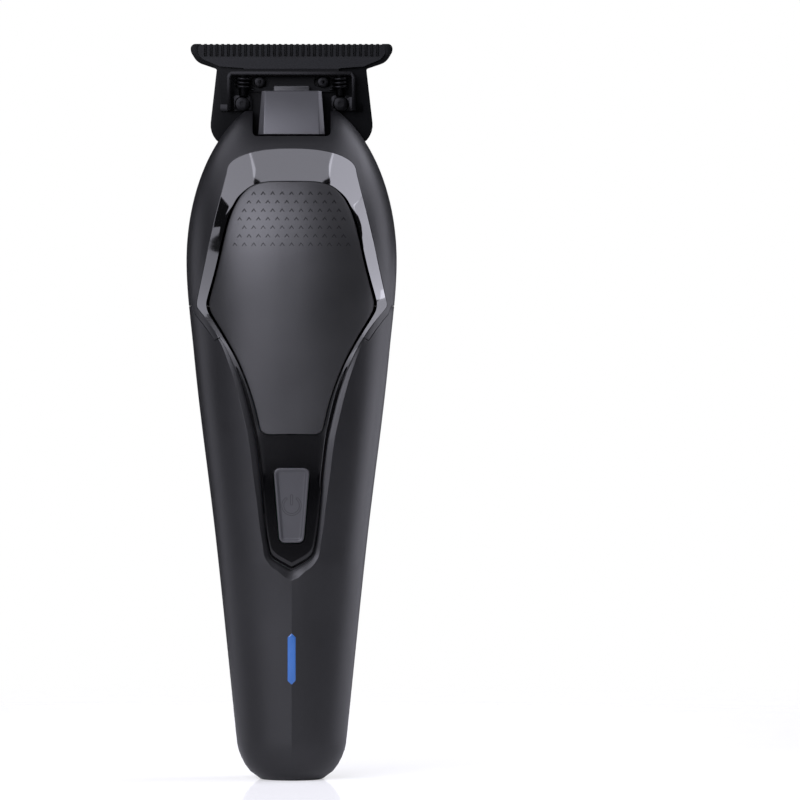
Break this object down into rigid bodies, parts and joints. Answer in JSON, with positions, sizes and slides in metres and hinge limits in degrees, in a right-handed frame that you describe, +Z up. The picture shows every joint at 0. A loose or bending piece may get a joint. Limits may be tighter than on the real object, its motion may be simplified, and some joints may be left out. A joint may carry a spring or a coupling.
{
  "type": "cordless hair trimmer",
  "caption": "Cordless hair trimmer with a wide T blade, flared head with glossy bezel, tapered grip, power button and light bar, driven by a motor and eccentric cam.",
  "frame": {"origin": "centre of the flat base face that the trimmer stands on", "axes": "+Z up along the body to the tooth tips, -Y out of the front with the button, +X to the right seen from the front"},
  "size_m": [0.0456, 0.0357, 0.1599],
  "materials": {
    "soft_black": "matte soft-touch black",
    "gloss_black": "piano black gloss",
    "gunmetal": "satin gunmetal grey",
    "button_grey": "matte dark grey",
    "seal_rubber": "soft silicone",
    "blue_lens": "lit blue light guide",
    "inner_plastic": "moulded black",
    "brass": "plated",
    "steel": "plain",
    "board_green": "solder mask",
    "white_plastic": "natural",
    "magnet": "sintered",
    "copper": "enamelled copper",
    "wire_red": "wire insulation",
    "cell_blue": "shrink sleeve",
    "blade_black": "black coated steel",
    "block_grey": "satin grey"
  },
  "bodies": {
    "casing": {"head_housing": "soft_black", "grip_housing": "soft_black", "bezel": "gloss_black", "face_plate": "gunmetal", "button_seal": "seal_rubber", "led_lens": "blue_lens", "base_cap": "inner_plastic", "dock_contacts": "brass", "charge_socket": "steel", "port_board": "board_green", "chassis": "inner_plastic", "chassis_screws": "steel", "motor_can": "steel", "motor_end_bell": "white_plastic", "motor_front_bush": "brass", "motor_rear_bush": "brass", "motor_magnets": "magnet", "motor_brushes": "brass", "motor_plate": "steel", "motor_screws": "steel", "plate_screws": "steel", "motor_leads": "wire_red", "battery_cell": "cell_blue", "battery_tab_top": "steel", "battery_tab_bottom": "steel", "main_board": "board_green", "tact_switch": "inner_plastic", "status_led": "white_plastic", "charge_leads": "wire_red", "fixed_blade": "blade_black", "guide_pins": "blade_black", "spring_bracket": "inner_plastic", "tension_springs": "steel", "bracket_screws": "blade_black", "blade_screws": "blade_black"},
    "rotor": {"motor_shaft": "steel", "armature": "copper", "commutator": "copper", "eccentric_cam": "steel", "cam_pin": "steel", "pin_sleeve": "white_plastic"},
    "cutter": {"moving_blade": "blade_black", "drive_block": "block_grey"},
    "button": {"power_button": "button_grey", "switch_plunger": "white_plastic"}
  },
  "joints": [
    {"name": "rotor_spin", "type": "hinge", "parent": "casing", "child": "rotor", "pos_m": [0, -0.0025, 0.116], "axis": [0, 0, 1], "continuous": true},
    {"name": "blade_slide", "type": "slide", "parent": "casing", "child": "cutter", "axis": [1, 0, 0], "range_m": [-0.0009, 0.0009]},
    {"name": "button_press", "type": "slide", "parent": "casing", "child": "button", "axis": [0, 1, 0], "range_m": [0, 0.0005], "stiffness_N_per_m": 3000}
  ]
}
